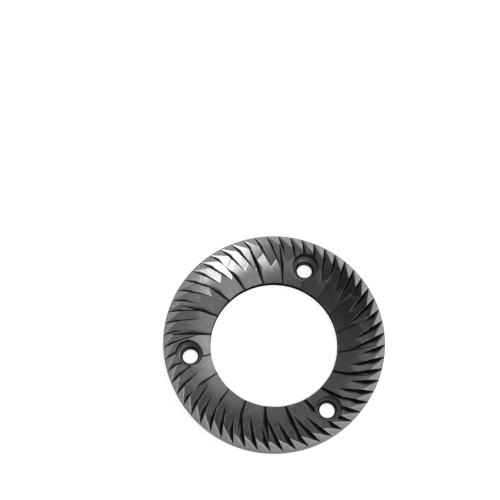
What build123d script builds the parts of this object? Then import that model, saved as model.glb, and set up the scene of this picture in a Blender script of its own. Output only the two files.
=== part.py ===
"""Flat grinding burr: one hardened steel ring with milled cutting teeth and countersunk screw holes.

Millimetres. The origin is the centre of the back face, +Z runs along the axis towards the teeth,
and +Y passes through one screw hole. Angles are in degrees, anticlockwise seen from the toothed side.
"""

import os
from math import asin, cos, degrees, radians, sqrt, tan

from build123d import *

# Ring blank
OUTER_DIAMETER = 64.0
BORE_DIAMETER = 37.4
THICKNESS = 6.6
RIM_BACK_CHAMFER = 0.5
BORE_BACK_CHAMFER = 0.4

# Finishing grooves, which fade out at the rim
FINISH_COUNT = 56
FINISH_RIM_ANGLE = 0.5        # where the first groove line crosses the rim
FINISH_OFFSET = 11.3          # how far each groove line passes from the axis
FINISH_RUN_OUT_RADIUS = 32.3  # where the groove bottom would come up to the toothed face, just past the rim
FINISH_SLOPE = 11.3           # fall of the groove bottom towards the bore
FINISH_FACET = 18.8           # rise of the long flank across the groove
FINISH_WALL_LEAN = 2.0        # lean of the short flank from upright

# Breaking grooves, which open into the bore
BREAK_COUNT = 20
BREAK_BORE_ANGLE = 14.4       # where the first groove line crosses the bore
BREAK_OFFSET = 4.0
BREAK_RUN_OUT_RADIUS = 29.8
BREAK_SLOPE = 20.6
BREAK_FACET = 13.0
BREAK_WALL_LEAN = 2.0

# Countersunk screw holes
SCREW_COUNT = 3
SCREW_CIRCLE_DIAMETER = 49.6
SCREW_HOLE_DIAMETER = 4.5
HEAD_RECESS_DIAMETER = 7.6
SEAT_ANGLE = 90.0             # full angle of the conical seat
SEAT_TOP_HEIGHT = 2.9         # height of the seat's wide end above the back face
FIRST_SCREW_ANGLE = 90.0

# How far a cutting shape reaches past what it cuts
CUTTER_HEADROOM = 4.0
CUTTER_OVERRUN = 1.0
CUTTER_OVERLAP = 0.3
CUTTER_START = 12.0           # distance from the axis where a groove cutter begins, inside the bore

OUTER_RADIUS = OUTER_DIAMETER / 2
BORE_RADIUS = BORE_DIAMETER / 2
CUTTER_TOP = THICKNESS + CUTTER_HEADROOM


def ring_blank() -> Part:
    """Turns the plain ring, with the back edges of its rim and bore chamfered."""
    profile = Polyline(
        (BORE_RADIUS + BORE_BACK_CHAMFER, 0, 0),
        (OUTER_RADIUS - RIM_BACK_CHAMFER, 0, 0),
        (OUTER_RADIUS, 0, RIM_BACK_CHAMFER),
        (OUTER_RADIUS, 0, THICKNESS),
        (BORE_RADIUS, 0, THICKNESS),
        (BORE_RADIUS, 0, BORE_BACK_CHAMFER),
        close=True,
    )
    return revolve(make_face(profile), Axis.Z)


def six_sided(near: list[Vector], far: list[Vector]) -> Solid:
    """Closes two matching four-cornered ends with flat sides.

    Each side is flat because the matching edges of the two ends lie in one plane.
    """
    faces = [Face(Wire.make_polygon(near)), Face(Wire.make_polygon(far))]
    for corner in range(len(near)):
        after = (corner + 1) % len(near)
        side = [near[corner], near[after], far[after], far[corner]]
        faces.append(Face(Wire.make_polygon(side)))
    return Solid(Shell(faces))


def groove_cutter(
    count: int, offset: float, run_out_radius: float, slope: float, facet: float, wall_lean: float
) -> Solid:
    """Shapes the cutter of one groove, with its line running along +X on the clockwise side of the axis.

    The long flank reaches just past the line of the next groove clockwise, so it narrows towards the bore.
    """
    pitch = radians(360 / count)
    run_out = sqrt(run_out_radius**2 - offset**2)

    def end(along: float) -> list[Vector]:
        bottom = THICKNESS - (run_out - along) * tan(radians(slope))
        width = along * tan(pitch) + offset * (1 / cos(pitch) - 1) + CUTTER_OVERLAP
        wall = (CUTTER_TOP - bottom) * tan(radians(wall_lean))
        return [
            Vector(along, -offset, bottom),
            Vector(along, -offset - width, bottom + width * tan(radians(facet))),
            Vector(along, -offset - width, CUTTER_TOP),
            Vector(along, -offset + wall, CUTTER_TOP),
        ]

    return six_sided(end(CUTTER_START), end(run_out + CUTTER_OVERRUN))


def around_axis(shape: Solid, count: int, first_angle: float) -> list[Solid]:
    """Repeats a shape evenly about the axis, the first copy turned by the given angle."""
    return [shape.rotate(Axis.Z, first_angle + 360 / count * step) for step in range(count)]


def finishing_cutters() -> list[Solid]:
    """Places the cutters of the fine grooves, by where their lines cross the rim."""
    cutter = groove_cutter(
        FINISH_COUNT, FINISH_OFFSET, FINISH_RUN_OUT_RADIUS, FINISH_SLOPE, FINISH_FACET, FINISH_WALL_LEAN
    )
    turn = FINISH_RIM_ANGLE + degrees(asin(FINISH_OFFSET / OUTER_RADIUS))
    return around_axis(cutter, FINISH_COUNT, turn)


def breaking_cutters() -> list[Solid]:
    """Places the cutters of the coarse grooves, by where their lines cross the bore."""
    cutter = groove_cutter(
        BREAK_COUNT, BREAK_OFFSET, BREAK_RUN_OUT_RADIUS, BREAK_SLOPE, BREAK_FACET, BREAK_WALL_LEAN
    )
    turn = BREAK_BORE_ANGLE + degrees(asin(BREAK_OFFSET / BORE_RADIUS))
    return around_axis(cutter, BREAK_COUNT, turn)


def screw_cutters() -> list[Solid]:
    """Shapes the screw holes: a clear hole, a conical seat and a straight recess up through the teeth."""
    hole = SCREW_HOLE_DIAMETER / 2
    recess = HEAD_RECESS_DIAMETER / 2
    seat_depth = (recess - hole) / tan(radians(SEAT_ANGLE / 2))
    profile = Polyline(
        (0, 0, -CUTTER_OVERRUN),
        (hole, 0, -CUTTER_OVERRUN),
        (hole, 0, SEAT_TOP_HEIGHT - seat_depth),
        (recess, 0, SEAT_TOP_HEIGHT),
        (recess, 0, CUTTER_TOP),
        (0, 0, CUTTER_TOP),
        close=True,
    )
    cutter = revolve(make_face(profile), Axis.Z).solid()
    placed = cutter.translate((SCREW_CIRCLE_DIAMETER / 2, 0, 0))
    return around_axis(placed, SCREW_COUNT, FIRST_SCREW_ANGLE)


def burr() -> Solid:
    """Cuts the screw holes and both sets of grooves into the ring."""
    drilled = ring_blank() - screw_cutters()
    broken = drilled - breaking_cutters()
    finished = broken - finishing_cutters()
    return finished.solid()


os.makedirs("parts", exist_ok=True)
export_step(burr(), "parts/burr.step")
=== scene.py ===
"""Dresses a flat grinding burr in hardened steel, and lights and frames it for its picture.

Metres. The origin is the centre of the burr's back face and +Z runs along its axis towards the teeth.
The finish works in millimetres, because it follows the burr's teeth.
"""
import logging
import math
from dataclasses import dataclass, field
from enum import Enum

import bpy
import numpy as np
from mathutils import Matrix, Vector

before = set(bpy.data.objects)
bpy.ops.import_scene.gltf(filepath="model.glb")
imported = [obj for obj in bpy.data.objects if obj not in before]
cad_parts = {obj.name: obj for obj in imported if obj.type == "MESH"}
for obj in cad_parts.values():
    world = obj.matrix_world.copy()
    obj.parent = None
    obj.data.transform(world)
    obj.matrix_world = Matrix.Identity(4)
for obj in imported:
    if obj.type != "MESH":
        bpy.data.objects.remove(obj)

log = logging.getLogger("burr")

MILLIMETRE = 0.001

Socket = bpy.types.NodeSocket
Value = Socket | float


class Node(Enum):
    """The shader nodes that the finishes are made of."""

    COORDINATE = "ShaderNodeTexCoord"
    GEOMETRY = "ShaderNodeNewGeometry"
    MAPPING = "ShaderNodeMapping"
    SPLIT = "ShaderNodeSeparateXYZ"
    JOIN = "ShaderNodeCombineXYZ"
    MATH = "ShaderNodeMath"
    VECTOR = "ShaderNodeVectorMath"
    NOISE = "ShaderNodeTexNoise"
    RAMP = "ShaderNodeMapRange"
    BUMP = "ShaderNodeBump"
    BEVEL = "ShaderNodeBevel"
    STEEL = "ShaderNodeBsdfPrincipled"
    MATT = "ShaderNodeBsdfDiffuse"
    GLOW = "ShaderNodeEmission"
    ADD = "ShaderNodeAddShader"
    RAY = "ShaderNodeLightPath"
    SKY = "ShaderNodeBackground"
    SURFACE = "ShaderNodeOutputMaterial"
    WORLD = "ShaderNodeOutputWorld"


class Op(Enum):
    """What a Math node works out."""

    ADD = "ADD"
    SUBTRACT = "SUBTRACT"
    MULTIPLY = "MULTIPLY"
    DIVIDE = "DIVIDE"
    MULTIPLY_ADD = "MULTIPLY_ADD"
    MAXIMUM = "MAXIMUM"
    GREATER_THAN = "GREATER_THAN"
    ABSOLUTE = "ABSOLUTE"
    FLOORED_MODULO = "FLOORED_MODULO"
    SQRT = "SQRT"
    EXPONENT = "EXPONENT"
    SINE = "SINE"
    COSINE = "COSINE"
    ARCSINE = "ARCSINE"
    ARCTAN2 = "ARCTAN2"


@dataclass(frozen=True)
class Span:
    """A stretch that a value runs over, from a start to an end."""

    start: float
    end: float

    def beyond(self, place: float) -> "Span":
        """Gives the same stretch counted from a place on."""
        return Span(place + self.start, place + self.end)


RISING = Span(0.0, 1.0)
FALLING = Span(1.0, 0.0)
CLOUD_LAYERS = 3.0             # finer layers in each cloudy pattern
CLOUD_VALUES = Span(0.3, 0.7)  # where most of its values lie


def grey(level: float) -> tuple[float, float, float, float]:
    """Gives the neutral colour of a level."""
    return (level, level, level, 1.0)


@dataclass
class NodeBench:
    """Lays shader nodes into one tree, which starts out empty."""

    tree: bpy.types.NodeTree

    def __post_init__(self) -> None:
        """Empties the tree."""
        self.tree.nodes.clear()

    def add(self, kind: Node, **settings: object) -> bpy.types.Node:
        """Adds a node and sets its properties.

        Args:
            kind: which node.
            settings: the node's own properties by name.

        Returns:
            The new node.
        """
        node = self.tree.nodes.new(kind.value)
        for name, value in settings.items():
            setattr(node, name, value)
        return node

    def feed(self, socket: Socket, value: object) -> None:
        """Links a socket to another node's output, or sets a constant on it.

        Args:
            socket: the input socket.
            value: the output socket or the constant.
        """
        if isinstance(value, Socket):
            self.tree.links.new(value, socket)
        else:
            socket.default_value = value

    def show(self, kind: Node, shader: bpy.types.Node) -> None:
        """Ends the tree in an output node that shows a shader."""
        self.feed(self.add(kind).inputs["Surface"], shader.outputs[0])

    def math(self, operation: Op, *values: Value, clamp: bool = False) -> Socket:
        """Works out one sum.

        Args:
            operation: what to work out.
            values: one to three sockets or numbers.
            clamp: whether the result is held between 0 and 1.

        Returns:
            The result.
        """
        node = self.add(Node.MATH, operation=operation.value, use_clamp=clamp)
        for socket, value in zip(node.inputs, values):
            self.feed(socket, value)
        return node.outputs[0]

    def ramp(self, value: Socket, over: Span, to: Span = RISING) -> Socket:
        """Carries a value smoothly from one stretch to another.

        Args:
            value: the value to read.
            over: where the ramp starts and ends.
            to: the result up to the start and from the end on.

        Returns:
            The result.
        """
        node = self.add(Node.RAMP, interpolation_type="SMOOTHSTEP")
        for socket, item in zip(node.inputs, (value, over.start, over.end, to.start, to.end)):
            self.feed(socket, item)
        return node.outputs[0]

    def blend(self, share: Socket, first: Value, second: Value) -> Socket:
        """Goes from a first value to a second by a share from 0 to 1.

        Args:
            share: the share of the second value.
            first: the value at 0.
            second: the value at 1.

        Returns:
            The first value plus the share times the change.
        """
        if isinstance(first, Socket) or isinstance(second, Socket):
            change: Value = self.math(Op.SUBTRACT, second, first)
        else:
            change = second - first
        return self.math(Op.MULTIPLY_ADD, share, change, first)

    def join(self, x: Value, y: Value, z: Value) -> Socket:
        """Makes a vector of three values.

        Args:
            x: the first value.
            y: the second value.
            z: the third value.

        Returns:
            The vector.
        """
        node = self.add(Node.JOIN)
        for socket, value in zip(node.inputs, (x, y, z)):
            self.feed(socket, value)
        return node.outputs[0]

    def split(self, vector: Socket) -> list[Socket]:
        """Takes a vector apart.

        Args:
            vector: the vector.

        Returns:
            Its three values.
        """
        node = self.add(Node.SPLIT)
        self.feed(node.inputs[0], vector)
        return list(node.outputs)

    def sum(self, first: Socket, second: Socket) -> Socket:
        """Adds two vectors.

        Args:
            first: the first vector.
            second: the second vector.

        Returns:
            Their sum.
        """
        node = self.add(Node.VECTOR, operation="ADD")
        self.feed(node.inputs[0], first)
        self.feed(node.inputs[1], second)
        return node.outputs[0]

    def stretch(self, vector: Socket, factor: Value) -> Socket:
        """Makes a vector longer or shorter.

        Args:
            vector: the vector.
            factor: what its length is multiplied by.

        Returns:
            The result.
        """
        node = self.add(Node.VECTOR, operation="SCALE")
        self.feed(node.inputs[0], vector)
        self.feed(node.inputs["Scale"], factor)
        return node.outputs[0]

    def dot(self, vector: Socket, fixed: Vector) -> Socket:
        """Measures a vector along a fixed direction.

        Args:
            vector: the vector to measure.
            fixed: the direction.

        Returns:
            The dot product.
        """
        node = self.add(Node.VECTOR, operation="DOT_PRODUCT")
        self.feed(node.inputs[0], vector)
        self.feed(node.inputs[1], tuple(fixed))
        return node.outputs["Value"]

    def scaled(self, place: Socket, factors: tuple[float, float, float]) -> Socket:
        """Scales coordinates along their axes.

        Args:
            place: the coordinates.
            factors: the factor on each axis.

        Returns:
            The scaled coordinates.
        """
        node = self.add(Node.MAPPING)
        self.feed(node.inputs["Vector"], place)
        self.feed(node.inputs["Scale"], factors)
        return node.outputs[0]

    def clouds(self, place: Socket, tones: Span, scale: float = 1.0) -> Socket:
        """Reads a cloudy pattern and carries its usual values to a range of tones.

        Args:
            place: the coordinates that the pattern lies on.
            tones: the tones of its low and of its high values.
            scale: how many grains there are to a unit of the coordinates.

        Returns:
            The tone.
        """
        node = self.add(Node.NOISE)
        self.feed(node.inputs["Vector"], place)
        self.feed(node.inputs["Scale"], scale)
        self.feed(node.inputs["Detail"], CLOUD_LAYERS)
        return self.ramp(node.outputs[0], CLOUD_VALUES, tones)

    def seen(self) -> Socket:
        """Finds the rays that look at a background: the camera's, mirrored ones and those through glass.

        Returns:
            1 for such a ray, and 0 for others.
        """
        rays = self.add(Node.RAY).outputs
        mirrored = self.math(Op.ADD, rays["Is Camera Ray"], rays["Is Glossy Ray"], clamp=True)
        return self.math(Op.ADD, mirrored, rays["Is Transmission Ray"], clamp=True)


@dataclass(frozen=True)
class GrooveSet:
    """One set of grooves round the ring, in millimetres and degrees.

    Each groove bottom is a straight line that passes the axis at an offset and falls towards the bore by the
    slope. The first line crosses one radius at an angle, and all run out to the toothed face at another. The
    long flank rises from the bottom by the facet.
    """

    count: int
    offset: float
    crossing_radius: float
    crossing_angle: float
    run_out_radius: float
    slope: float
    facet: float

    def pitch(self) -> float:
        """Gives the angle from one groove to the next, in radians."""
        return 2.0 * math.pi / self.count

    def turn(self) -> float:
        """Gives the direction of the first groove line, in radians."""
        return math.radians(self.crossing_angle) + math.asin(self.offset / self.crossing_radius)

    def run_out(self) -> float:
        """Gives how far along its line a groove comes up to the toothed face."""
        return math.sqrt(self.run_out_radius**2 - self.offset**2)

    def fall(self) -> float:
        """Gives how much a groove bottom falls to a millimetre along it."""
        return math.tan(math.radians(self.slope))

    def rise(self) -> float:
        """Gives how much a long flank rises to a millimetre across it."""
        return math.tan(math.radians(self.facet))


@dataclass(frozen=True)
class GrooveReading:
    """What the teeth are like at a point, for one set of grooves, in millimetres.

    The index counts the grooves, the heading is the way the groove line runs in radians, the crest is how
    deep the far edge of the flank before the root lies, on is 1 where the point lies on the long flank, and
    wall is 1 beside the next groove line.
    """

    index: Socket
    heading: Socket
    across: Socket
    along: Socket
    depth: Socket
    root: Socket
    crest: Socket
    on: Socket
    wall: Socket

    def sideways(self, bench: NodeBench, along: Value, across: Value) -> Socket:
        """Turns a rise along the groove line and one across it into what they add to an upright normal.

        The normal leans back by the first along the line's direction and by the second square to it.

        Args:
            bench: the tree to lay nodes in.
            along: the rise along the line.
            across: the rise across it.

        Returns:
            The sideways part of the normal.
        """
        cosine = bench.math(Op.COSINE, self.heading)
        sine = bench.math(Op.SINE, self.heading)
        x = bench.math(Op.MULTIPLY_ADD, cosine, along, bench.math(Op.MULTIPLY, sine, across))
        y = bench.math(Op.SUBTRACT, bench.math(Op.MULTIPLY, sine, along),
                       bench.math(Op.MULTIPLY, cosine, across))
        return bench.stretch(bench.join(x, y, 0.0), -1.0)


@dataclass(frozen=True)
class Teeth:
    """The burr's two sets of grooves and its screw holes, in millimetres and degrees.

    A screw's seat begins at the seat depth below the toothed face, and its clear hole at the hole depth.
    """

    thickness: float = 6.6
    outer_radius: float = 32.0
    bore_radius: float = 18.7
    finishing: GrooveSet = GrooveSet(
        count=56, offset=11.3, crossing_radius=32.0, crossing_angle=0.5, run_out_radius=32.3,
        slope=11.3, facet=18.8)
    breaking: GrooveSet = GrooveSet(
        count=20, offset=4.0, crossing_radius=18.7, crossing_angle=14.4, run_out_radius=29.8,
        slope=20.6, facet=13.0)
    screw_count: int = 3
    screw_circle_radius: float = 24.8
    screw_angle: float = 90.0
    recess_radius: float = 3.8
    seat_depth: float = 3.7
    hole_depth: float = 5.25


@dataclass
class ToothReader:
    """Finds, for each point of the surface, where it lies on the teeth, in millimetres.

    A point counts as on a flank within a gap from it, as by a wall within a reach of the next groove line,
    and as on the rim past an edge just inside it.
    """

    bench: NodeBench
    teeth: Teeth
    place: Socket
    flank_gap: Span = Span(0.02, 0.05)
    wall_reach: Span = Span(0.12, 0.2)
    rim_edge: Span = Span(-0.08, -0.04)
    radius: Socket = field(init=False)
    angle: Socket = field(init=False)
    sunk: Socket = field(init=False)

    def __post_init__(self) -> None:
        """Works out the distance from the axis, the angle round it and the depth below the toothed face."""
        bench = self.bench
        x, y, z = bench.split(self.place)
        square = bench.math(Op.MULTIPLY_ADD, x, x, bench.math(Op.MULTIPLY, y, y))
        self.radius = bench.math(Op.SQRT, square)
        self.angle = bench.math(Op.ARCTAN2, y, x)
        self.sunk = bench.math(Op.SUBTRACT, self.teeth.thickness, z)

    def flank_depth(self, grooves: GrooveSet, along: Value, across: Value) -> Socket:
        """Gives how deep a groove's long flank lies.

        The groove bottom falls by its slope from the run-out on, and the flank rises from it by its own.

        Args:
            grooves: the set of grooves.
            along: distance along the groove line.
            across: distance from it.

        Returns:
            The depth below the toothed face.
        """
        fall = grooves.fall()
        bottom = self.bench.math(Op.MULTIPLY_ADD, along, -fall, fall * grooves.run_out())
        return self.bench.math(Op.MULTIPLY_ADD, across, -grooves.rise(), bottom)

    def read(self, grooves: GrooveSet) -> GrooveReading:
        """Finds the groove that a point lies in.

        At a radius r the groove line leans by the arc sine of offset over r. The angle past the last line,
        with that lean added, is turned into distances along and across the line. The root and the crest
        beside it are taken at the same radius.

        Args:
            grooves: the set of grooves.

        Returns:
            The reading.
        """
        bench = self.bench
        lean = bench.math(Op.ARCSINE, bench.math(Op.DIVIDE, grooves.offset, self.radius))
        turned = bench.math(Op.SUBTRACT, bench.math(Op.SUBTRACT, grooves.turn(), lean), self.angle)
        past = bench.math(Op.FLOORED_MODULO, turned, grooves.pitch())
        index = bench.math(Op.DIVIDE, bench.math(Op.SUBTRACT, turned, past), grooves.pitch())
        heading = bench.math(Op.MULTIPLY_ADD, index, -grooves.pitch(), grooves.turn())
        along, across = self.beside(grooves, bench.math(Op.ADD, past, lean))
        depth = self.flank_depth(grooves, along, across)
        gap = bench.math(Op.ABSOLUTE, bench.math(Op.SUBTRACT, self.sunk, depth))
        root = self.flank_depth(grooves, self.beside(grooves, lean)[0], 0.0)
        before = self.beside(grooves, bench.math(Op.ADD, lean, grooves.pitch()))
        crest = bench.math(Op.MAXIMUM, self.flank_depth(grooves, *before), 0.0)
        on = bench.ramp(gap, self.flank_gap, FALLING)
        ahead = bench.math(Op.MULTIPLY, bench.math(Op.SUBTRACT, grooves.pitch(), past), self.radius)
        wall = bench.ramp(ahead, self.wall_reach, FALLING)
        return GrooveReading(index, heading, across, along, depth, root, crest, on, wall)

    def beside(self, grooves: GrooveSet, swing: Socket) -> tuple[Socket, Socket]:
        """Measures a point along and across a groove line.

        Along is the radius times the cosine of the swing, across the radius times its sine less the offset.

        Args:
            grooves: the set of grooves.
            swing: the angle from the line's direction to the point, about the axis.

        Returns:
            The distances along and across.
        """
        bench = self.bench
        along = bench.math(Op.MULTIPLY, self.radius, bench.math(Op.COSINE, swing))
        across = bench.math(Op.MULTIPLY_ADD, self.radius, bench.math(Op.SINE, swing), -grooves.offset)
        return along, across

    def rim(self, to: Span) -> Socket:
        """Goes from the start of a span inside the ring to its end on the rim."""
        return self.bench.ramp(self.radius, self.rim_edge.beyond(self.teeth.outer_radius), to)

    def screw_distance(self) -> Socket:
        """Gives the distance from the nearest screw hole's axis.

        The angle is folded into one hole's sector, and the distance follows from the law of cosines.

        Returns:
            The distance.
        """
        bench = self.bench
        sector = 2.0 * math.pi / self.teeth.screw_count
        first = math.radians(self.teeth.screw_angle) - sector / 2
        shifted = bench.math(Op.SUBTRACT, self.angle, first)
        folded = bench.math(Op.SUBTRACT, bench.math(Op.FLOORED_MODULO, shifted, sector), sector / 2)
        reach = self.teeth.screw_circle_radius
        square = bench.math(Op.MULTIPLY_ADD, self.radius, self.radius, reach * reach)
        cross = bench.math(Op.MULTIPLY, self.radius, bench.math(Op.COSINE, folded))
        return bench.math(Op.SQRT, bench.math(Op.MULTIPLY_ADD, cross, -2.0 * reach, square))


@dataclass(frozen=True)
class FlankForm:
    """How the wheel left one set's flanks: tipped a little, and crowned or hollow along the groove.

    Tips are slopes, the crown is slope lost to a millimetre along the groove, about a middle.
    """

    tip_along: float
    tip_across: float
    crown: float
    middle: float

    def lean(self, bench: NodeBench, reading: GrooveReading) -> Socket:
        """Works out how far the flank's normal leans from a flat flank's.

        The slope along the groove is the tip less the crown times the distance from the middle.

        Args:
            bench: the tree to lay nodes in.
            reading: the point's place in the grooves.

        Returns:
            What is added to the normal.
        """
        at_axis = self.tip_along + self.crown * self.middle
        slope = bench.math(Op.MULTIPLY_ADD, reading.along, -self.crown, at_axis)
        return reading.sideways(bench, slope, self.tip_across)


@dataclass(frozen=True)
class RidgeReading:
    """How a point lies by the ridge where a finishing flank comes up to a breaking flank or to the land.

    Smooth goes from 0 on the other side to 1 on the finishing flank, moved is how far that is from a sharp
    step, dug is 1 where the other side is a breaking flank, and worn is 1 where the ridge is worn.
    """

    smooth: Socket
    moved: Socket
    dug: Socket
    worn: Socket


@dataclass(frozen=True)
class ShadeAndWearSide:
    """One side of the ring round an angle, out to a spread, in degrees: for the painted shade, a side where
    the light leaves less shade; for the ridges, a side where they are less worn.

    In each use only the least share, of painted shade or of ridge wear, is left there, over the middle share
    of the spread.
    """

    angle: float
    least: float
    spread: float
    middle: float = 0.3

    def share(self, bench: NodeBench, angle: Socket) -> Socket:
        """Gives the share that is left at an angle round the ring.

        It follows the cosine of the angle from the clean side.

        Args:
            bench: the tree to lay nodes in.
            angle: the angle round the ring, in radians.

        Returns:
            The share, from the least to 1.
        """
        cosine = bench.math(Op.COSINE, bench.math(Op.SUBTRACT, angle, math.radians(self.angle)))
        edge = math.cos(math.radians(self.spread))
        middle = math.cos(math.radians(self.middle * self.spread))
        return bench.ramp(cosine, Span(edge, middle), Span(1.0, self.least))


@dataclass(frozen=True)
class PaintedShadeReach:
    """How far the painted shade reaches over one set's flanks, in shares of the wall beside the root: the
    wall's shade on the flank and its dark mirror image there.

    It fades from one share to another. Both are less on the lighter sides, where the light leaves less shade,
    and are multiplied by a factor that changes over a stretch along the groove. The least wall keeps the
    share clear of a division by 0.
    """

    fade: Span
    along: Span
    factor: Span
    lighter_sides: tuple[ShadeAndWearSide, ...]
    least_wall: float = 0.001

    def left(self, bench: NodeBench, angle: Socket) -> Socket:
        """Gives the share of the reach that is left at an angle round the ring.

        Args:
            bench: the tree to lay nodes in.
            angle: the angle round the ring, in radians.

        Returns:
            The product of the lighter sides' shares.
        """
        product, *others = [side.share(bench, angle) for side in self.lighter_sides]
        for share in others:
            product = bench.math(Op.MULTIPLY, product, share)
        return product

    def band(self, bench: NodeBench, left: Socket, reading: GrooveReading, other: GrooveReading) -> Socket:
        """Fades the painted shade out over a flank, from the root on.

        The wall stands from the root up to the crest, or to the other grooves' flank where that is deeper.

        Args:
            bench: the tree to lay nodes in.
            left: the share of the reach that is left there.
            reading: the point's place in the grooves.
            other: its place in the other set of grooves.

        Returns:
            The share of painted shade.
        """
        top = bench.math(Op.MAXIMUM, reading.crest, other.depth)
        wall = bench.math(Op.MAXIMUM, bench.math(Op.SUBTRACT, reading.root, top), self.least_wall)
        taper = bench.ramp(reading.along, self.along, self.factor)
        tapered = bench.math(Op.MULTIPLY, wall, bench.math(Op.MULTIPLY, left, taper))
        share = bench.math(Op.DIVIDE, reading.across, tapered)
        return bench.math(Op.MULTIPLY, bench.ramp(share, self.fade, FALLING), reading.on)


@dataclass(frozen=True)
class GrindingMarks:
    """The wheels' marks: streaks along the flanks, lines round the rim and a mottle on the rest.

    Scales are grains to a millimetre, tones are factors on the steel's own tone, the groove step is how far
    apart two grooves' streaks are read, and the relief is how far the marks stand out in millimetres.
    """

    mottle_scale: float = 1.6
    mottle_tones: Span = Span(0.82, 1.18)
    line_scales: tuple[float, float, float] = (0.12, 0.12, 5.0)
    line_tones: Span = Span(0.86, 1.14)
    across_scale: float = 3.0
    along_scale: float = 0.5
    groove_step: float = 7.3
    streak_tones: Span = Span(0.85, 1.15)
    relief: float = 0.006

    def draw(self, reader: ToothReader, fine: GrooveReading, coarse: GrooveReading) -> Socket:
        """Draws the marks.

        Each groove has its own streaks, quick across it and slow along it. The lines round the rim are quick
        across it too.

        Args:
            reader: the point's place on the teeth.
            fine: its place in the finishing grooves.
            coarse: its place in the breaking grooves.

        Returns:
            The factor on the steel's tone, about 1.
        """
        bench = reader.bench
        marks = bench.clouds(reader.place, self.mottle_tones, self.mottle_scale)
        lines = bench.clouds(bench.scaled(reader.place, self.line_scales), self.line_tones)
        marks = bench.blend(reader.rim(RISING), marks, lines)
        for reading in (coarse, fine):
            quick = bench.math(Op.MULTIPLY, reading.across, self.across_scale)
            slow = bench.math(Op.MULTIPLY, reading.along, self.along_scale)
            own = bench.math(Op.MULTIPLY, reading.index, self.groove_step)
            streaks = bench.clouds(bench.join(quick, slow, own), self.streak_tones)
            marks = bench.blend(reading.on, marks, streaks)
        return marks


@dataclass(frozen=True)
class ScrewRecess:
    """The steel in the screw recesses: painted shade darkens it down the wall, it is pale on the seat, with
    rings from turning.

    Lengths are in millimetres. The mouth is counted out from the recess's wall, the seat's start down from
    its wide edge and its end down from its narrow edge.
    """

    # painted shade: the near-black tone down the recess wall
    recess_shade_grey: float = 0.05
    seat_grey: float = 0.3
    roughness: float = 0.3
    ring_pitch: float = 0.62
    ring_height: float = 0.03
    ring_contrast: float = 0.5
    mouth: Span = Span(0.02, 0.06)
    seat_start: Span = Span(-0.1, 0.25)
    seat_end: Span = Span(-0.9, -0.2)

    def bored(self, reader: ToothReader) -> Socket:
        """Gives 1 in the recesses and 0 outside them."""
        mouth = self.mouth.beyond(reader.teeth.recess_radius)
        return reader.bench.ramp(reader.screw_distance(), mouth, FALLING)

    def rings(self, reader: ToothReader) -> Socket:
        """Draws the rings, from -1 to 1: a sine of the depth."""
        turns = reader.bench.math(Op.MULTIPLY, reader.sunk, 2 * math.pi / self.ring_pitch)
        return reader.bench.math(Op.SINE, turns)

    def tone(self, reader: ToothReader, rings: Socket) -> Socket:
        """Gives the steel's tone in the recesses, with painted shade down the wall.

        Args:
            reader: the point's place on the teeth.
            rings: the turned rings.

        Returns:
            The tone.
        """
        bench, teeth = reader.bench, reader.teeth
        begun = bench.ramp(reader.sunk, self.seat_start.beyond(teeth.seat_depth))
        lasting = bench.ramp(reader.sunk, self.seat_end.beyond(teeth.hole_depth), FALLING)
        ringed = bench.math(Op.MULTIPLY_ADD, rings, self.ring_contrast * self.seat_grey, self.seat_grey)
        # painted shade down the recess wall, the steel's own pale tone only on the seat
        return bench.blend(bench.math(Op.MULTIPLY, begun, lasting), self.recess_shade_grey, ringed)


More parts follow.
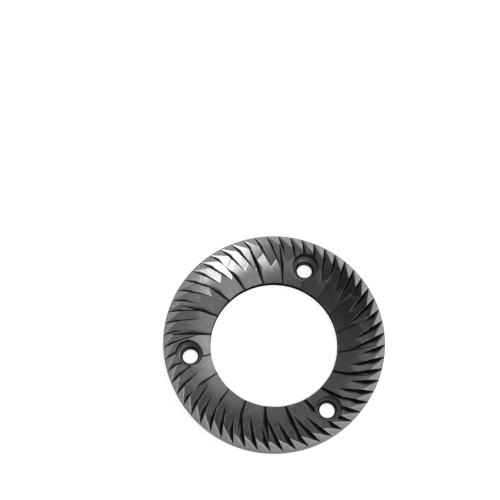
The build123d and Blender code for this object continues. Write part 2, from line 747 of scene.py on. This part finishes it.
@dataclass(frozen=True)
class HardenedSteel:
    """Dark hardened steel, ground on the lands, the flanks and the rim, with near-black painted shade on the
    upright walls and along the groove roots, where the walls shade the flanks and mirror dark in them.

    Lengths are in millimetres. Top, back and bore edges are counted from those faces, and the wall normal is
    how far up or down a normal may point on an upright wall.
    """

    name: str = "hardened_steel"
    teeth: Teeth = Teeth()
    marks: GrindingMarks = GrindingMarks()
    recess: ScrewRecess = ScrewRecess()
    flank_grey: float = 0.22
    land_grey: float = 0.27
    # painted shade: the near-black tone of the walls and the root bands
    shade_paint_grey: float = 0.012
    glancing_grey: float = 0.35
    fine_roughness: float = 0.245
    coarse_roughness: float = 0.28
    land_roughness: float = 0.48
    # roughness of the painted shade on the walls and the root bands
    shade_paint_roughness: float = 0.6
    # how far the painted shade reaches beside the groove roots, less on the sides where the light leaves less
    # shade
    fine_shade_reach: PaintedShadeReach = PaintedShadeReach(
        fade=Span(1.35, 3.15), along=Span(24.5, 29.0), factor=Span(0.72, 1.3),
        lighter_sides=(ShadeAndWearSide(angle=145.9, least=0.55, spread=155.0),))
    coarse_shade_reach: PaintedShadeReach = PaintedShadeReach(
        fade=Span(0.95, 2.9), along=Span(19.0, 23.5), factor=Span(0.75, 1.0),
        lighter_sides=(ShadeAndWearSide(angle=51.0, least=0.1, spread=68.0),
                     ShadeAndWearSide(angle=233.9, least=0.55, spread=45.0)))
    fine_form: FlankForm = FlankForm(tip_along=0.029, tip_across=-0.021, crown=-0.0137, middle=25.5)
    coarse_form: FlankForm = FlankForm(tip_along=0.032, tip_across=0.021, crown=0.026, middle=23.0)
    crisp_side: ShadeAndWearSide = ShadeAndWearSide(angle=131.9, least=0.0, spread=52.0)
    ridge_depth: float = 0.16
    top_edge: Span = Span(0.012, 0.03)
    back_edge: Span = Span(-0.03, -0.012)
    bore_edge: Span = Span(0.05, 0.1)
    wall_normal: Span = Span(0.3, 0.5)
    edge_radius: float = 0.2
    edge_samples: int = 6

    def make(self) -> bpy.types.Material:
        """Builds the material.

        Returns:
            The material, which reads Object coordinates.
        """
        steel = bpy.data.materials.new(self.name)
        steel.use_nodes = True
        bench = NodeBench(steel.node_tree)
        metres = bench.add(Node.COORDINATE).outputs["Object"]
        reader = ToothReader(bench, self.teeth, bench.scaled(metres, (1 / MILLIMETRE,) * 3))
        fine = reader.read(self.teeth.finishing)
        coarse = reader.read(self.teeth.breaking)
        bored = self.recess.bored(reader)
        rings = self.recess.rings(reader)
        top = bench.ramp(reader.sunk, self.top_edge, FALLING)
        back = bench.ramp(reader.sunk, self.back_edge.beyond(self.teeth.thickness))
        ridge = self.read_ridge(bench, reader.angle, top, fine, coarse)
        land = bench.math(Op.ADD, self.worn_land(bench, top, ridge), back, clamp=True)
        # painted shade on the upright walls and beside the groove roots
        scale = self.painted_root_shade(reader, fine, coarse, bored)
        marks = self.marks.draw(reader, fine, coarse)
        tone = bench.math(Op.MULTIPLY, bench.blend(land, self.flank_grey, self.land_grey), marks)
        tone = bench.blend(bored, tone, self.recess.tone(reader, rings))
        # the painted shade turns the tone near-black
        tone = bench.blend(scale, tone, self.shade_paint_grey)
        rough = bench.blend(coarse.on, self.fine_roughness, self.coarse_roughness)
        rough = bench.blend(land, rough, self.land_roughness)
        rough = bench.blend(bored, rough, self.recess.roughness)
        rough = bench.blend(scale, rough, self.shade_paint_roughness)
        height = bench.blend(bored, bench.math(Op.MULTIPLY, marks, self.marks.relief),
                             bench.math(Op.MULTIPLY, rings, self.recess.ring_height))
        leans = self.flank_leans(bench, ridge, fine, coarse)
        shader = bench.add(Node.STEEL)
        bench.feed(shader.inputs["Metallic"], 1.0)
        bench.feed(shader.inputs["Specular Tint"], grey(self.glancing_grey))
        bench.feed(shader.inputs["Base Color"], bench.join(tone, tone, tone))
        bench.feed(shader.inputs["Roughness"], rough)
        bench.feed(shader.inputs["Normal"], self.surface_normal(bench, leans, height))
        bench.show(Node.SURFACE, shader)
        return steel

    def read_ridge(self, bench: NodeBench, angle: Socket, top: Socket, fine: GrooveReading,
                   coarse: GrooveReading) -> RidgeReading:
        """Finds the ridge beside a point, by the difference of the two sides' depths.

        Args:
            bench: the tree to lay nodes in.
            angle: the angle round the ring.
            top: 1 on the lands.
            fine: the point's place in the finishing grooves.
            coarse: its place in the breaking grooves.

        Returns:
            The reading.
        """
        dug = bench.math(Op.GREATER_THAN, coarse.depth, 0.0)
        deeper = bench.math(Op.SUBTRACT, fine.depth, bench.math(Op.MAXIMUM, coarse.depth, 0.0))
        smooth = bench.ramp(deeper, Span(-self.ridge_depth, self.ridge_depth))
        moved = bench.math(Op.SUBTRACT, smooth, bench.math(Op.GREATER_THAN, deeper, 0.0))
        face = bench.math(Op.MAXIMUM, top, bench.math(Op.MAXIMUM, fine.on, coarse.on))
        worn = bench.math(Op.MULTIPLY, face, self.crisp_side.share(bench, angle))
        return RidgeReading(smooth, moved, dug, worn)

    def worn_land(self, bench: NodeBench, top: Socket, ridge: RidgeReading) -> Socket:
        """Lets the land go over softly into the flanks where the ridges are worn.

        Args:
            bench: the tree to lay nodes in.
            top: 1 on the lands.
            ridge: the ridge beside the point.

        Returns:
            The share of the land, from 0 to 1.
        """
        beside = bench.math(Op.MULTIPLY, ridge.worn, bench.math(Op.SUBTRACT, 1.0, ridge.dug))
        return bench.blend(beside, top, bench.math(Op.SUBTRACT, 1.0, ridge.smooth))

    def flank_leans(self, bench: NodeBench, ridge: RidgeReading, fine: GrooveReading,
                    coarse: GrooveReading) -> list[Socket]:
        """Works out what the flanks' forms and the worn ridges between them add to the normal.

        Beside a worn ridge each side's normal goes smoothly over to the other's.

        Args:
            bench: the tree to lay nodes in.
            ridge: the ridge beside the point.
            fine: the point's place in the finishing grooves.
            coarse: its place in the breaking grooves.

        Returns:
            The vectors to add.
        """
        leans: list[Socket] = []
        facings: list[Socket] = []
        for form, grooves, reading in ((self.fine_form, self.teeth.finishing, fine),
                                       (self.coarse_form, self.teeth.breaking, coarse)):
            lean = form.lean(bench, reading)
            facings.append(bench.sum(reading.sideways(bench, grooves.fall(), grooves.rise()), lean))
            leans.append(bench.stretch(lean, reading.on))
        other = bench.stretch(facings[1], bench.math(Op.MULTIPLY, ridge.dug, -1.0))
        turned = bench.math(Op.MULTIPLY, ridge.moved, ridge.worn)
        leans.append(bench.stretch(bench.sum(facings[0], other), turned))
        return leans

    def surface_normal(self, bench: NodeBench, leans: list[Socket], height: Socket) -> Socket:
        """Rounds the edges, leans the flanks and lets the marks of the tools stand out.

        Args:
            bench: the tree to lay nodes in.
            leans: what the flanks' forms and worn ridges add to the normal.
            height: how far the marks stand out.

        Returns:
            The normal.
        """
        edge = bench.add(Node.BEVEL, samples=self.edge_samples)
        bench.feed(edge.inputs["Radius"], self.edge_radius * MILLIMETRE)
        normal = edge.outputs[0]
        for lean in leans:
            normal = bench.sum(normal, lean)
        bump = bench.add(Node.BUMP)
        bench.feed(bump.inputs["Strength"], 1.0)
        bench.feed(bump.inputs["Distance"], MILLIMETRE)
        bench.feed(bump.inputs["Height"], height)
        bench.feed(bump.inputs["Normal"], normal)
        return bump.outputs[0]

    def painted_root_shade(self, reader: ToothReader, fine: GrooveReading, coarse: GrooveReading,
                    bored: Socket) -> Socket:
        """Finds where shade is painted: on the upright walls and in bands along the groove roots, where the
        walls shade the flanks and mirror dark in them.

        Args:
            reader: the point's place on the teeth.
            fine: its place in the finishing grooves.
            coarse: its place in the breaking grooves.
            bored: 1 in the screw recesses, which get no painted shade here.

        Returns:
            The share of painted shade, from 0 to 1.
        """
        bench = reader.bench
        upward = bench.split(bench.add(Node.GEOMETRY).outputs["True Normal"])[2]
        steep = bench.ramp(bench.math(Op.ABSOLUTE, upward), self.wall_normal, FALLING)
        # painted shade on the upright walls, less on the breaking walls where they face the light
        walls = bench.math(Op.MULTIPLY, steep, reader.rim(FALLING))
        past_bore = bench.ramp(reader.radius, self.bore_edge.beyond(self.teeth.bore_radius))
        beside = bench.math(Op.MULTIPLY, coarse.wall, past_bore)
        coarse_left = self.coarse_shade_reach.left(bench, reader.angle)
        walls = bench.math(Op.MULTIPLY, walls, bench.blend(beside, 1.0, coarse_left))
        fine_left = self.fine_shade_reach.left(bench, reader.angle)
        # painted shade in bands beside the roots, where the walls shade the flanks and mirror dark in them
        fine_band = self.fine_shade_reach.band(bench, fine_left, fine, coarse)
        coarse_band = self.coarse_shade_reach.band(bench, coarse_left, coarse, fine)
        shade_share = bench.math(Op.MAXIMUM, walls, bench.math(Op.MAXIMUM, fine_band, coarse_band))
        return bench.math(Op.MULTIPLY, shade_share, bench.math(Op.SUBTRACT, 1.0, bored), clamp=True)


@dataclass
class Burr:
    """The burr itself, one solid ring."""

    node: str = "burr"
    steel: HardenedSteel = field(default_factory=HardenedSteel)

    def dress(self) -> bpy.types.Object:
        """Gives the ring its steel.

        Returns:
            The ring.
        """
        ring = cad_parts[self.node]
        ring.data.materials.clear()
        ring.data.materials.append(self.steel.make())
        return ring


@dataclass(frozen=True)
class Viewpoint:
    """Where the picture is taken from: angles in degrees, distances in metres, shifts in frame widths.

    The lens and the sensor are in millimetres, as a camera's are.
    """

    turn: float = 15.9
    tilt: float = 14.63
    roll: float = 5.97
    distance: float = 0.24
    target_height: float = Teeth.thickness * MILLIMETRE
    lens: float = 59.93
    sensor: float = 36.0
    shift_x: float = -0.0490
    shift_y: float = 0.1804
    nearest: float = 0.01
    farthest: float = 100.0

    def axes(self) -> np.ndarray:
        """Works out the picture's right, up and towards-the-eye directions.

        The frame is tipped about the picture's level line, rolled about the line of sight, and turned
        about the burr's axis.

        Returns:
            Three unit vectors, as rows.
        """
        tilt, roll, turn = np.radians([self.tilt, self.roll, self.turn])
        tip = np.array([[1, 0, 0], [0, np.cos(tilt), np.sin(tilt)], [0, -np.sin(tilt), np.cos(tilt)]])
        spin = np.array([[np.cos(roll), np.sin(roll), 0], [-np.sin(roll), np.cos(roll), 0], [0, 0, 1]])
        about = np.array([[np.cos(turn), -np.sin(turn), 0], [np.sin(turn), np.cos(turn), 0], [0, 0, 1]])
        return spin @ tip @ about.T

    def burr_direction(self, right: float, up: float, out: float) -> Vector:
        """Turns a direction given beside the picture into the burr's frame.

        Args:
            right: share along the picture's right, in the burr's plane.
            up: share away from the viewer, in the burr's plane.
            out: share along the burr's axis.

        Returns:
            The unit direction.
        """
        turn = math.radians(self.turn)
        return Vector((right * math.cos(turn) - up * math.sin(turn),
                       right * math.sin(turn) + up * math.cos(turn), out)).normalized()

    def place(self) -> bpy.types.Object:
        """Stands the camera there and makes it the scene's.

        Returns:
            The camera.
        """
        data = bpy.data.cameras.new("camera")
        data.lens = self.lens
        data.sensor_width = self.sensor
        data.shift_x = self.shift_x
        data.shift_y = self.shift_y
        data.clip_start = self.nearest
        data.clip_end = self.farthest
        camera = bpy.data.objects.new("camera", data)
        bpy.context.scene.collection.objects.link(camera)
        axes = self.axes()
        matrix = np.eye(4)
        matrix[:3, :3] = axes.T
        matrix[:3, 3] = axes[2] * self.distance + np.array([0.0, 0.0, self.target_height])
        camera.matrix_world = Matrix(matrix.tolist())
        bpy.context.scene.camera = camera
        return camera


@dataclass(frozen=True)
class SoftBox:
    """One soft lamp: where it stands as seen beside the picture, its size and how bright its face is."""

    name: str
    right: float
    up: float
    out: float
    width: float
    height: float
    brightness: float
    distance: float = 0.7

    def hang(self, view: Viewpoint) -> bpy.types.Object:
        """Hangs the lamp, facing the burr.

        Its power is its brightness times pi times the area of its face.

        Args:
            view: the viewpoint that its place is given beside.

        Returns:
            The lamp.
        """
        data = bpy.data.lights.new(self.name, "AREA")
        data.shape = "RECTANGLE"
        data.size = self.width
        data.size_y = self.height
        data.energy = self.brightness * math.pi * self.width * self.height
        lamp = bpy.data.objects.new(self.name, data)
        bpy.context.scene.collection.objects.link(lamp)
        out = view.burr_direction(self.right, self.up, self.out)
        across = view.burr_direction(1.0, 0.0, 0.0)
        across = (across - out * across.dot(out)).normalized()
        turned = Matrix((across, out.cross(across), out)).transposed()
        lamp.matrix_world = Matrix.Translation(out * self.distance) @ turned.to_4x4()
        return lamp


@dataclass(frozen=True)
class Card:
    """One soft card of the room, pale or dark: its way beside the picture, its tightness and its level."""

    right: float
    up: float
    out: float
    tightness: float
    level: float

    def add_to(self, bench: NodeBench, direction: Socket, total: Value, view: Viewpoint) -> Socket:
        """Adds the card to the room's light.

        Its level falls off as the exponential of the tightness times the cosine off its middle less 1.

        Args:
            bench: the tree to lay nodes in.
            direction: the direction looked in.
            total: the light so far.
            view: the viewpoint that its place is given beside.

        Returns:
            The light with the card.
        """
        cosine = bench.dot(direction, view.burr_direction(self.right, self.up, self.out))
        power = bench.math(Op.MULTIPLY_ADD, cosine, self.tightness, -self.tightness)
        return bench.math(Op.MULTIPLY_ADD, bench.math(Op.EXPONENT, power), self.level, total)


@dataclass(frozen=True)
class WhitePaper:
    """Matt white paper, which glows for the rays that look at it, so it is white and still holds a shadow."""

    name: str = "white_paper"
    tone: float = 0.8
    glow: float = 0.66

    def make(self) -> bpy.types.Material:
        """Builds the material.

        Returns:
            The material.
        """
        paper = bpy.data.materials.new(self.name)
        paper.use_nodes = True
        paper.cycles.emission_sampling = "NONE"
        bench = NodeBench(paper.node_tree)
        matt = bench.add(Node.MATT)
        bench.feed(matt.inputs["Color"], grey(self.tone))
        glow = bench.add(Node.GLOW)
        bench.feed(glow.inputs["Strength"], bench.math(Op.MULTIPLY, bench.seen(), self.glow))
        both = bench.add(Node.ADD)
        bench.feed(both.inputs[0], matt.outputs[0])
        bench.feed(both.inputs[1], glow.outputs[0])
        bench.show(Node.SURFACE, both)
        return paper


@dataclass
class Studio:
    """The pale floor, the room and the lamps.

    Lengths are in metres. The horizon and the backdrop end at heights that are sines of the angle upwards.
    """

    view: Viewpoint
    paper: WhitePaper = WhitePaper()
    floor_half: float = 3.0
    floor_gap: float = 0.1 * MILLIMETRE
    room_level: float = 0.25
    darkest_level: float = 0.02
    horizon_level: float = 0.43
    horizon: Span = Span(0.1, 0.4)
    backdrop: Span = Span(0.12, 0.2)
    cards: tuple[Card, ...] = (
        Card(0.682, 0.55, 0.483, 8.9, 2.79),
        Card(-0.196, 0.503, 0.842, 35.0, 1.13),
        Card(-0.362, -0.134, 0.923, 28.1, 1.82),
        Card(0.521, -0.554, 0.649, 42.9, 1.76),
        Card(-0.317, -0.055, 0.947, 13.3, -1.7),
        Card(0.441, 0.578, 0.687, 21.3, -4.87),
    )
    lamps: tuple[SoftBox, ...] = (
        SoftBox("front_lamp", 0.018, -0.39, 0.921, 0.235, 0.08, 16.5),
        SoftBox("top_lamp", 0.13, 0.39, 0.911, 0.208, 0.299, 5.5),
    )

    def lay_floor(self) -> bpy.types.Object:
        """Lays a level square sheet of paper just under the burr's back face.

        Its corners are the half width times (-1 or 1, -1 or 1).

        Returns:
            The floor.
        """
        side = np.array([-1.0, 1.0]) * self.floor_half
        x, y = np.meshgrid(side, side)
        points = np.stack([x.ravel(), y.ravel(), np.full(x.size, -self.floor_gap)], axis=1)
        mesh = bpy.data.meshes.new("floor")
        mesh.from_pydata(points.tolist(), [], [(0, 1, 3, 2)])
        mesh.materials.append(self.paper.make())
        floor = bpy.data.objects.new("floor", mesh)
        bpy.context.scene.collection.objects.link(floor)
        return floor

    def tint_room(self) -> bpy.types.World:
        """Gives the room its levels: a white backdrop low down, dim above, with soft cards round the burr.

        Returns:
            The world.
        """
        world = bpy.data.worlds.new("room")
        world.use_nodes = True
        bench = NodeBench(world.node_tree)
        direction = bench.add(Node.COORDINATE).outputs["Generated"]
        level: Value = self.room_level
        for card in self.cards:
            level = card.add_to(bench, direction, level, self.view)
        level = bench.math(Op.MAXIMUM, level, self.darkest_level)
        height = bench.split(direction)[2]
        level = bench.blend(bench.ramp(height, self.horizon, FALLING), level, self.horizon_level)
        backdrop = bench.math(Op.MULTIPLY, bench.seen(), bench.ramp(height, self.backdrop, FALLING))
        sky = bench.add(Node.SKY)
        bench.feed(sky.inputs["Color"], grey(1.0))
        bench.feed(sky.inputs["Strength"], bench.blend(backdrop, level, 1.0))
        bench.show(Node.WORLD, sky)
        bpy.context.scene.world = world
        return world

    def set_up(self) -> None:
        """Lays the floor, tints the room, hangs the lamps and stands the camera."""
        log.info("floor %s", self.lay_floor().name)
        log.info("room %s", self.tint_room().name)
        for lamp in self.lamps:
            log.info("lamp %s", lamp.hang(self.view).name)
        log.info("camera %s", self.view.place().name)
        bpy.context.scene.view_settings.view_transform = "Standard"


def main() -> None:
    """Dresses the burr and sets up the studio."""
    logging.basicConfig(level=logging.INFO, format="%(name)s: %(message)s")
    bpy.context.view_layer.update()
    ring = Burr().dress()
    log.info("%s in %s", ring.name, ring.data.materials[0].name)
    Studio(Viewpoint()).set_up()


if __name__ == "__main__":
    main()
